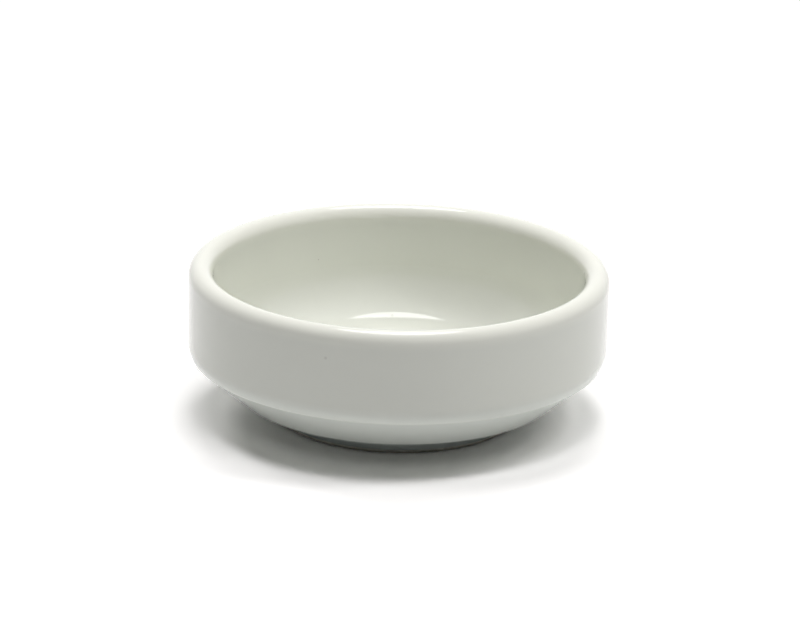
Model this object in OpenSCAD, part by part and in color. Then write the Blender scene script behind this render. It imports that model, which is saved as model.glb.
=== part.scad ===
// Stacking soy sauce dish of glazed porcelain, in millimetres.
// The origin is the middle of the foot, on the table, and +Z is up.
// Every piece is turned from a half section, in which x is the radius and y the height.

/* [Rim] */
// Outer diameter of the upright wall
rim_d = 80; // [77:0.5:95]
// Height from the table to the crest of the lip
dish_h = 29.3; // [26:0.1:37]
// Thickness of the full-round lip
lip_w = 4.7; // [3.8:0.1:5.4]

/* [Shoulder] */
// Height of the shoulder's crease, where the dish above is lifted clear of the lip
shoulder_h = 11.8; // [10.9:0.1:12.9]
// Radius that rounds the foot of the upright wall into the crease
shoulder_round = 5.4; // [4.2:0.1:6.6]
// Angle that the wall has turned inwards at the crease
shoulder_turn = 29; // [15:1:40]

/* [Lower body] */
// Height of the sole, the level ring between the flare and the foot
sole_h = 4.2; // [3.7:0.1:4.7]
// Width of the sole from the flank of the foot ring to the edge where the flare would meet it
sole_w = 5.8; // [5:0.1:6.6]
// Radius that rounds this edge
sole_round = 3; // [2:0.1:4]

/* [Foot ring] */
// Outer diameter of the foot ring where its flank would meet the table
foot_d = 47.7; // [43.5:0.1:50.5]
// Thickness of the foot ring at the table
foot_w = 2.8; // [2.2:0.1:3.6]
// Lean of both flanks of the foot ring from upright
foot_lean = 10; // [4:1:16]
// Rounding of the seat's two edges
seat_round = 0.6; // [0.3:0.05:0.8]
// Fillet between the foot ring and the sole
foot_fillet = 1.2; // [0.8:0.1:1.8]
// Height of the ceiling inside the foot ring
recess_h = 3; // [2.4:0.1:3.4]
// Fillet round that ceiling
recess_fillet = 1.4; // [0.8:0.1:1.8]

/* [Well] */
// Height of the floor inside the dish
floor_h = 7.5; // [7.1:0.1:8.9]
// Lean of the inner wall from upright
well_lean = 2.5; // [0.5:0.5:5]
// Fillet between the inner wall and the floor
well_fillet = 10.5; // [7.5:0.5:12.5]

/* [Glaze] */
// Thickness of the glaze
glaze_t = 0.3; // [0.2:0.05:0.5]
// Height of the line that the glaze is wiped back to on the foot ring
bare_h = 0.9; // [0.85:0.05:1.4]

/* [Hidden] */

// Facets of a full turn and of a round in the section
turn_fn = 180;
arc_fn = 180;
// How far a round laps over the straight stretches that it runs into
lap = 0.0005;
// Reach of the wedge that a round is cut with, as a share of the least that it needs
reach_share = 1.3;

rim_r = rim_d / 2;
lip_r = lip_w / 2;
foot_r = foot_d / 2;
foot_inner_r = foot_r - foot_w;

// Centres of the rounds and fillets that the glazed outline and the bare one under it share
lip_c = [rim_r - lip_r, dish_h - lip_r];
shoulder_c = [rim_r - shoulder_round, shoulder_h + shoulder_round * sin(shoulder_turn)];
foot_fillet_h = sole_h - foot_fillet;
foot_fillet_c = [flank_r(foot_fillet_h, foot_fillet), foot_fillet_h];
recess_fillet_h = recess_h - recess_fillet;
recess_fillet_c = [inner_flank_r(recess_fillet_h, recess_fillet), recess_fillet_h];
well_fillet_h = floor_h + well_fillet;
well_fillet_c = [well_r(well_fillet_h, well_fillet), well_fillet_h];

// Slope above level of the flare, which runs straight from the crease to the sole's edge
sole_edge_r = flank_r(sole_h, 0) + sole_w;
flare_slope = atan2(shoulder_h - sole_h, crease(0).x - sole_edge_r);

// Unit step at an angle below level, outwards
function down(angle) = [cos(angle), -sin(angle)];

// Radius of the foot's outer flank at a height, moved out square to the flank by a step
function flank_r(h, step) = foot_r + h * tan(foot_lean) + step / cos(foot_lean);
// Radius of the foot's inner flank at a height, moved in square to the flank by a step
function inner_flank_r(h, step) = foot_inner_r - h * tan(foot_lean) - step / cos(foot_lean);
// Radius of the well's wall at a height, moved in square to the wall by a step
function well_r(h, step) =
    lip_c.x - (lip_r + step) / cos(well_lean) - (lip_c.y - h) * tan(well_lean);

// Shoulder's crease, with the outline drawn in by an inset
function crease(inset) = shoulder_c + (shoulder_round - inset) * down(shoulder_turn);
// Corner that the wall would have above the crease if it weren't rounded
function shoulder_corner(inset) =
    shoulder_c + (shoulder_round - inset) / cos(shoulder_turn / 2) * down(shoulder_turn / 2);
// Radius of the flare at a height, drawn in by an inset and moved in square to it by a step
function flare_r(h, inset, step) =
    crease(inset).x - (crease(inset).y - h) / tan(flare_slope) - step / sin(flare_slope);

// Centres that move with the inset
function sole_c(inset) =
    [flare_r(sole_h + sole_round, inset, sole_round - inset), sole_h + sole_round];
function seat_c(inset) = [flank_r(seat_round, -inset - seat_round), seat_round];
function inner_seat_c(inset) = [inner_flank_r(seat_round, -inset - seat_round), seat_round];

// A disc of the section
module disc(centre, radius) {
    translate(centre)
        circle(r = radius, $fn = arc_fn);
}

// What lies past an arc, from one angle below level to another
module past_arc(centre, radius, from, to) {
    reach = reach_share * radius / pow(cos((to - from) / 2), 2);
    difference() {
        polygon([centre, centre + reach * down(from), centre + reach * down(to)]);
        disc(centre, radius + lap);
    }
}

// The outside of the dish filled in to its axis, drawn in by an inset all round but at the seat.
// The outline runs straight across the two fillets of the foot, which are then taken out as discs.
module filled_outside(inset) {
    difference() {
        polygon([
            [0, recess_h + inset],
            [recess_fillet_c.x, recess_h + inset],
            recess_fillet_c + (recess_fillet + inset) * down(-foot_lean),
            [inner_flank_r(0, -inset), 0],
            [flank_r(0, -inset), 0],
            foot_fillet_c - (foot_fillet + inset) * down(foot_lean),
            [foot_fillet_c.x, sole_h + inset],
            [flare_r(sole_h + inset, inset, 0), sole_h + inset],
            crease(inset),
            shoulder_corner(inset),
            [rim_r - inset, lip_c.y],
            lip_c,
            lip_c - lip_w * down(well_lean),
            [0, lip_c.y],
        ]);
        disc(recess_fillet_c, recess_fillet + inset + lap);
        disc(foot_fillet_c, foot_fillet + inset + lap);
        past_arc(inner_seat_c(inset), seat_round, 90, 180 - foot_lean);
        past_arc(seat_c(inset), seat_round, foot_lean, 90);
        past_arc(sole_c(inset), sole_round - inset, 90 - flare_slope, 90);
        past_arc(shoulder_c, shoulder_round - inset, 0, shoulder_turn);
    }
}

// The well, widened by an inset all round
module well(inset) {
    difference() {
        polygon([
            [0, floor_h - inset],
            [well_r(floor_h - inset, -inset), floor_h - inset],
            [well_r(dish_h, -inset), dish_h],
            [0, dish_h],
        ]);
        past_arc(well_fillet_c, well_fillet + inset, well_lean, 90);
    }
}

// Half section of the whole dish, drawn in by an inset
module dish_section(inset) {
    difference() {
        filled_outside(inset);
        well(inset);
    }
    disc(lip_c, lip_r - inset + lap);
}

// Half section of the glaze down to the line that it is wiped back to
module glaze_section() {
    difference() {
        dish_section(0);
        dish_section(glaze_t);
        square([rim_d, bare_h]);
    }
}

// The fired porcelain, which stands on its own bare seat
module porcelain_body() {
    color([0.90, 0.89, 0.85])
        rotate_extrude($fn = turn_fn)
            dish_section(glaze_t);
}

// The glaze from the outside of the foot ring over the lip and down over the well
module glaze_coat() {
    color([0.92, 0.93, 0.90])
        rotate_extrude($fn = turn_fn)
            difference() {
                glaze_section();
                square([foot_inner_r + foot_w / 2, (recess_h + floor_h) / 2]);
            }
}

// The glaze on the ceiling and the flank inside the foot ring
module foot_recess_glaze() {
    color([0.91, 0.92, 0.89])
        rotate_extrude($fn = turn_fn)
            intersection() {
                glaze_section();
                square([foot_inner_r + foot_w / 2, (recess_h + floor_h) / 2]);
            }
}

porcelain_body();
glaze_coat();
foot_recess_glaze();
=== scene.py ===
import math

import bmesh
import bpy
from mathutils import Matrix, Vector


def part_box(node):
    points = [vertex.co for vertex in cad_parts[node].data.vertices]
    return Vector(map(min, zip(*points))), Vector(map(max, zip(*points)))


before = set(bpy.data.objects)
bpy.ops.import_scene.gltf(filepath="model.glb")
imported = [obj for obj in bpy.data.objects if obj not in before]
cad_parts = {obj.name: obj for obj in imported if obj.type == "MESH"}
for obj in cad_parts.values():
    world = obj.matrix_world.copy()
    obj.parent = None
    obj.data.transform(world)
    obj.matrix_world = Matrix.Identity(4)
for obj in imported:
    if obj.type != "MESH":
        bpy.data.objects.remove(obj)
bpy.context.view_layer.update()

# The dish's porcelain. One piece of white clay, jiggered with its wall, lip, shoulder, flare and
# foot ring in one go and fired hard. It shows only on the seat of the foot ring, where the glaze
# is wiped away before firing so that the dish doesn't stick to the kiln shelf.
CLAY = (0.79, 0.77, 0.70, 1)
CLAY_SAND = (0.55, 0.49, 0.40, 1)
CLAY_ROUGHNESS = 0.62
# What the grain adds to the roughness
GRAIN_ROUGHNESS = 0.2
# Grains of the clay and of the sand to the metre, and the height of the clay's tooth
CLAY_GRAINS = 2600
SAND_GRAINS = 1400
CLAY_TOOTH_H = 0.00004
# Distances from the middle of its cell, in cells, where a grain of sand ends and where it is full
SAND_EDGE = 0.16
SAND_CORE = 0.05


class Term:
    """A shader socket that works in sums and adds other nodes to its tree."""

    def __init__(self, tree, socket=None):
        self.tree = tree
        self.socket = socket

    def node(self, kind, settings, values, output=0):
        """Adds a node of a type, with its settings and then the values or links of its sockets."""
        node = self.tree.nodes.new(kind)
        for name, value in settings.items():
            setattr(node, name, value)
        pairs = values.items() if isinstance(values, dict) else enumerate(values)
        for key, value in pairs:
            if isinstance(value, Term):
                self.tree.links.new(value.socket, node.inputs[key])
            else:
                node.inputs[key].default_value = value
        return Term(self.tree, node.outputs[output])

    def maths(self, operation, *values):
        return self.node("ShaderNodeMath", {"operation": operation}, values)

    def __add__(self, other):
        return self.maths("ADD", self, other)

    def __sub__(self, other):
        return self.maths("SUBTRACT", self, other)

    def __rsub__(self, other):
        return self.maths("SUBTRACT", other, self)

    def __mul__(self, other):
        return self.maths("MULTIPLY", self, other)

    __radd__ = __add__
    __rmul__ = __mul__

    def ramp(self, start, end):
        """Goes smoothly from 0 at the start to 1 at the end, which may be the smaller one."""
        settings = {"interpolation_type": "SMOOTHSTEP"}
        low, high = min(start, end), max(start, end)
        bottom, top = (0, 1) if end > start else (1, 0)
        return self.node("ShaderNodeMapRange", settings, [self, low, high, bottom, top])

    def blend(self, one, other):
        """Mixes two colours by this share of the other."""
        return self.node("ShaderNodeMix", {"data_type": "RGBA"}, {0: self, 6: one, 7: other}, 2)

    def feed(self, shader, name):
        self.tree.links.new(self.socket, shader.inputs[name])


def new_material(name):
    """Makes a material, and gives its shader and the place on the object with it."""
    material = bpy.data.materials.new(name)
    material.use_nodes = True
    tree = material.node_tree
    place = Term(tree).node("ShaderNodeTexCoord", {}, {}, "Object")
    return material, tree.nodes["Principled BSDF"], place


def paint(node_name, material):
    """Puts a material in every slot of a CAD node."""
    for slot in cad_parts[node_name].material_slots:
        slot.material = material


def bare_porcelain():
    """Unglazed fired clay: chalky, with a fine tooth and a trace of kiln sand."""
    material, shader, place = new_material("bare_porcelain")
    grain = place.node("ShaderNodeTexNoise", {}, {"Vector": place, "Scale": CLAY_GRAINS, "Detail": 4})
    cells = {"Vector": place, "Scale": SAND_GRAINS}
    grit = place.node("ShaderNodeTexVoronoi", {}, cells, "Distance")
    sand = grit.ramp(SAND_EDGE, SAND_CORE) * grain
    sand.blend(CLAY, CLAY_SAND).feed(shader, "Base Color")
    (CLAY_ROUGHNESS + GRAIN_ROUGHNESS * grain).feed(shader, "Roughness")
    tooth = {"Strength": 0.5, "Distance": CLAY_TOOTH_H, "Height": grain}
    place.node("ShaderNodeBump", {}, tooth).feed(shader, "Normal")
    return material


paint("porcelain_body", bare_porcelain())

# The glaze. A thin clear glass over the white clay, sprayed on and fused in the second firing.
# It runs from the outside of the foot over the lip and down into the well, and a second field of
# it lies inside the foot ring. Its colour is paler on the lip and the crease, partly where it
# breaks thin and partly as painted light, cooler and paler on faces that turn downward, and
# darker low on the foot as painted shade.
GLAZE_WHITE = (0.84, 0.85, 0.775, 1)
# Paler on the lip: partly thin glaze, partly painted light of the soft box above
GLAZE_LIP_THIN_AND_LIT = (0.935, 0.935, 0.850, 1)
# Paler at the crease: partly thin glaze, partly painted light from the lit table below it
GLAZE_CREASE_THIN_AND_LIT = (0.920, 0.945, 0.875, 1)
# Cooler and paler, in random clouds and on faces that turn downward
GLAZE_COOLER = (0.855, 0.883, 0.825, 1)
# Painted shade low on the foot, where the dish's shadow falls
GLAZE_PAINTED_SHADE = (0.54, 0.585, 0.565, 1)
PINHOLE = (0.30, 0.28, 0.24, 1)
GLAZE_ROUGHNESS = 0.05
GLAZE_IOR = 1.5

# How far below the lip's top the glaze starts to turn paler, and how far below it is palest:
# partly thin glaze, partly painted light of the soft box above
LIP_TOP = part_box("glaze_coat")[1][2]
LIP_THIN_LIT_START = 0.0036
LIP_THIN_LIT_FULL = 0.00072
# The crease's height, how far over and under it the glaze is paler, partly thin glaze and partly
# painted light, and the radius that keeps this out of the well
CREASE_H = 0.0118
CREASE_OVER = 0.0021
CREASE_UNDER = 0.000525
CREASE_LEAST_R = 0.036
# Heights on the foot where the painted shade starts and where it is darkest
FOOT_SHADE_START = 0.0036
FOOT_SHADE_FULL = 0.0018
# Upward parts of a face's direction where the glaze starts to turn cooler and paler, and where it
# is fully so
DOWNWARD_TINT_START = 0.05
DOWNWARD_TINT_FULL = -0.45

# Clouds and waves of the glaze to the metre, and the height of the waves. A cloud brings this much
# of the cooler colour and of roughness.
CLOUDS = 60
CLOUD_SHARE = 0.2
CLOUD_ROUGHNESS = 0.03
WAVES = 140
WAVE_H = 0.00002

# Pinholes, and two specks of iron that the firing brought out, wider and fainter than a pinhole:
# one on the front wall and one in the well
PINHOLE_SPACING = 0.008
PINHOLE_R = 0.00016
PINHOLE_SHADE = 0.55
PINHOLE_ROUGHNESS = 0.3
SPECK_R = 0.00040
SPECK_SHARE = 0.35
# The share of its radius inside which a pinhole or a speck is full
SPOT_CORE = 0.4
SPECKS = [(-0.0130, -0.0378, 0.0238), (-0.0012, 0.0294, 0.0088)]


def near(place, spot, reach):
    """Goes from 1 at a spot to 0 at a reach from it."""
    away = place.node("ShaderNodeVectorMath", {"operation": "DISTANCE"}, [place, spot], "Value")
    return away.ramp(reach, SPOT_CORE * reach)


def porcelain_glaze():
    """Glossy glaze with a slow waviness, a little mottling and a few pinholes."""
    material, shader, place = new_material("porcelain_glaze")
    cloud = place.node("ShaderNodeTexNoise", {}, {"Vector": place, "Scale": CLOUDS, "Detail": 3})
    wave = place.node("ShaderNodeTexNoise", {}, {"Vector": place, "Scale": WAVES, "Detail": 1})
    height = place.node("ShaderNodeSeparateXYZ", {}, [place], "Z")
    facing = place.node("ShaderNodeNewGeometry", {}, {}, "Normal")
    upward = place.node("ShaderNodeSeparateXYZ", {}, [facing], "Z")

    # Cooler and paler on faces that turn downward
    downward_tint = upward.ramp(DOWNWARD_TINT_START, DOWNWARD_TINT_FULL)
    # Paler on the lip: partly thin glaze, partly painted light of the soft box above
    lip = height.ramp(LIP_TOP - LIP_THIN_LIT_START, LIP_TOP - LIP_THIN_LIT_FULL)
    # Paler band at the crease: partly thin glaze, partly painted light from the lit table below it
    over = height.ramp(CREASE_H + CREASE_OVER, CREASE_H)
    under = height.ramp(CREASE_H - CREASE_UNDER, CREASE_H)
    level = place.node("ShaderNodeVectorMath", {"operation": "MULTIPLY"}, [place, (1, 1, 0)])
    radius = level.node("ShaderNodeVectorMath", {"operation": "LENGTH"}, [level], "Value")
    outside = radius.maths("GREATER_THAN", radius, CREASE_LEAST_R)
    # Painted shade: the glaze is darkened low on the foot, where the dish's shadow falls
    foot_painted_shade = height.ramp(FOOT_SHADE_START, FOOT_SHADE_FULL)
    colour = (CLOUD_SHARE * cloud).blend(GLAZE_WHITE, GLAZE_COOLER)
    colour = downward_tint.blend(colour, GLAZE_COOLER)
    colour = foot_painted_shade.blend(colour, GLAZE_PAINTED_SHADE)
    colour = (over * under * outside).blend(colour, GLAZE_CREASE_THIN_AND_LIT)
    colour = lip.blend(colour, GLAZE_LIP_THIN_AND_LIT)

    cells = {"Vector": place, "Scale": 1 / PINHOLE_SPACING}
    cell = place.node("ShaderNodeTexVoronoi", {}, cells, "Distance")
    reach = PINHOLE_R / PINHOLE_SPACING
    pit = cell.ramp(reach, SPOT_CORE * reach)
    for spot in SPECKS:
        pit = pit.maths("MAXIMUM", pit, SPECK_SHARE * near(place, spot, SPECK_R))
    (PINHOLE_SHADE * pit).blend(colour, PINHOLE).feed(shader, "Base Color")

    rough = GLAZE_ROUGHNESS + CLOUD_ROUGHNESS * cloud + PINHOLE_ROUGHNESS * pit
    rough.feed(shader, "Roughness")
    skin = {"Strength": 0.3, "Distance": WAVE_H, "Height": wave - pit}
    place.node("ShaderNodeBump", {}, skin).feed(shader, "Normal")
    shader.inputs["IOR"].default_value = GLAZE_IOR
    return material


glaze = porcelain_glaze()
paint("glaze_coat", glaze)
paint("foot_recess_glaze", glaze)

# The table. A white seamless surface that is lit until it has no shade of its own, so that only
# the dish's shadow and contact line show on it. It is see-through from below, and lets light
# from below through inside the foot ring, so that the underside can be looked at.
TABLE_R = 3.0
TABLE_EDGES = 96
# Radius of the opening for light from below, and where the matt top starts and ends its fade to
# plain white
TABLE_OPEN_R = 0.0225
TABLE_SHADE_R = 0.12
TABLE_PLAIN_R = 0.35
# The table's colour for the light that it gives back, and as it is seen
TABLE_BOUNCE = (0.88, 0.88, 0.88, 1)
TABLE_WHITE = (1.30, 1.28, 1.28, 1)


def seen_directly(term):
    """Tells the rays of the camera, of reflections and of clear glass from the light's own."""
    path = term.node("ShaderNodeLightPath", {}, {}).socket.node
    names = ["Is Camera Ray", "Is Glossy Ray", "Is Transmission Ray"]
    camera, glossy, through = [Term(term.tree, path.outputs[name]) for name in names]
    return camera, camera + glossy + through


def white_table():
    """Matt white, brighter when seen directly, and plain white away from the dish."""
    material, shader, place = new_material("white_table")
    camera, straight = seen_directly(place)
    below = place.node("ShaderNodeNewGeometry", {}, {}, "Backfacing")
    colour = straight.blend(TABLE_BOUNCE, TABLE_WHITE)
    away = place.node("ShaderNodeVectorMath", {"operation": "LENGTH"}, [place], "Value")
    matt = place.node("ShaderNodeBsdfDiffuse", {}, [colour])
    plain = place.node("ShaderNodeEmission", {}, [])
    faded = straight * away.ramp(TABLE_SHADE_R, TABLE_PLAIN_R)
    top = place.node("ShaderNodeMixShader", {}, [faded, matt, plain])
    clear = place.node("ShaderNodeBsdfTransparent", {}, [])
    opened = place.maths("MAXIMUM", camera * below, away.maths("LESS_THAN", away, TABLE_OPEN_R))
    table = place.node("ShaderNodeMixShader", {}, [opened, top, clear])
    table.feed(place.tree.nodes["Material Output"], "Surface")
    place.tree.nodes.remove(shader)
    return material


def make_table():
    """A round table top under the foot, made as one disc."""
    mesh = bpy.data.meshes.new("table")
    disc = bmesh.new()
    bmesh.ops.create_circle(disc, cap_ends=True, segments=TABLE_EDGES, radius=TABLE_R)
    disc.to_mesh(mesh)
    disc.free()
    table = bpy.data.objects.new("table", mesh)
    bpy.context.scene.collection.objects.link(table)
    table.data.materials.append(white_table())


make_table()

# The light. One oval soft box hangs over the dish and a little behind it, and gives the
# glints on the lip and in the well. Small lamps fill in round it, one under the table lights the
# underside, and the room behind is white.

# All lamps hang this far from the dish's foot. Sizes are in metres.
LAMP_DISTANCE = 1.2
SOFT_BOX = (0.44, 0.70)
SMALL_LAMP = (0.30, 0.30)
# Each lamp's bearing from straight behind, its height above the table, both in degrees, its
# width and depth, its watts and whether the glaze mirrors it
LAMPS = {
    "soft_box": (1.0, 69, SOFT_BOX, 4.7, True),
    "left_top": (-90, 75, SMALL_LAMP, 1.9, False),
    "front_top": (180, 75, SMALL_LAMP, 2.0, False),
    "right_front_top": (135, 75, SMALL_LAMP, 1.9, False),
    "right_high": (90, 60, SMALL_LAMP, 2.3, False),
    "left_behind": (-45, 45, SMALL_LAMP, 2.1, False),
    "right_low": (90, 45, SMALL_LAMP, 1.3, False),
    "low_behind": (0, 12, SMALL_LAMP, 1.6, False),
    "under_table": (180, -60, SMALL_LAMP, 8.0, False),
}


def hang_lamp(name, bearing, rise, across, watts, mirrored):
    """A round or oval lamp, turned to face the dish."""
    lamp = bpy.data.lights.new(name, "AREA")
    lamp.shape = "ELLIPSE"
    lamp.size, lamp.size_y = across
    lamp.energy = watts
    hung = bpy.data.objects.new(name, lamp)
    bpy.context.scene.collection.objects.link(hung)
    bearing, rise = math.radians(bearing), math.radians(rise)
    level = Vector((math.sin(bearing), math.cos(bearing), 0))
    towards = math.cos(rise) * level + Vector((0, 0, math.sin(rise)))
    hung.location = LAMP_DISTANCE * towards
    hung.rotation_euler = towards.to_track_quat("Z", "Y").to_euler()
    hung.visible_glossy = mirrored


def light_room():
    """The room: white to the camera and in reflections, and no light of its own otherwise."""
    world = bpy.data.worlds.new("white_room")
    world.use_nodes = True
    camera, straight = seen_directly(Term(world.node_tree))
    back = world.node_tree.nodes["Background"]
    back.inputs["Color"].default_value = (1, 1, 1, 1)
    straight.feed(back, "Strength")
    bpy.context.scene.world = world


for name, lamp in LAMPS.items():
    hang_lamp(name, *lamp)
light_room()

# The camera. It stands in front of the dish and looks down on it at about twenty degrees, from
# as far as a long lens needs to fill half the picture's width with a dish of this size.

# The picture's size, the focal length and the place of the foot's middle are in pixels, the pitch
# and the roll in radians, the distance in metres and the sensor in millimetres
PICTURE = (800, 617)
CAMERA_PITCH = 0.3346
CAMERA_ROLL = 0.0229
CAMERA_DISTANCE = 0.8048
CAMERA_FOCUS = 4194.8
FOOT_AT = (396.15, 409.36)
SENSOR = 36.0


def place_camera():
    """The camera, placed so that the middle of the foot falls on its pixel."""
    ahead = Vector((0, math.cos(CAMERA_PITCH), -math.sin(CAMERA_PITCH)))
    level = Vector((1, 0, 0))
    upright = level.cross(ahead)
    across = math.cos(CAMERA_ROLL) * level + math.sin(CAMERA_ROLL) * upright
    upwards = math.cos(CAMERA_ROLL) * upright - math.sin(CAMERA_ROLL) * level
    aside = (FOOT_AT[0] - PICTURE[0] / 2) / CAMERA_FOCUS
    above = (PICTURE[1] / 2 - FOOT_AT[1]) / CAMERA_FOCUS
    lens = bpy.data.cameras.new("camera")
    lens.sensor_width = SENSOR
    lens.lens = CAMERA_FOCUS * SENSOR / PICTURE[0]
    lens.clip_start = 0.01
    camera = bpy.data.objects.new("camera", lens)
    bpy.context.scene.collection.objects.link(camera)
    turned = Matrix((across, upwards, -ahead)).transposed().to_4x4()
    stand = -CAMERA_DISTANCE * (ahead + aside * across + above * upwards)
    camera.matrix_world = Matrix.Translation(stand) @ turned
    bpy.context.scene.camera = camera


place_camera()
bpy.context.scene.view_settings.view_transform = "Standard"
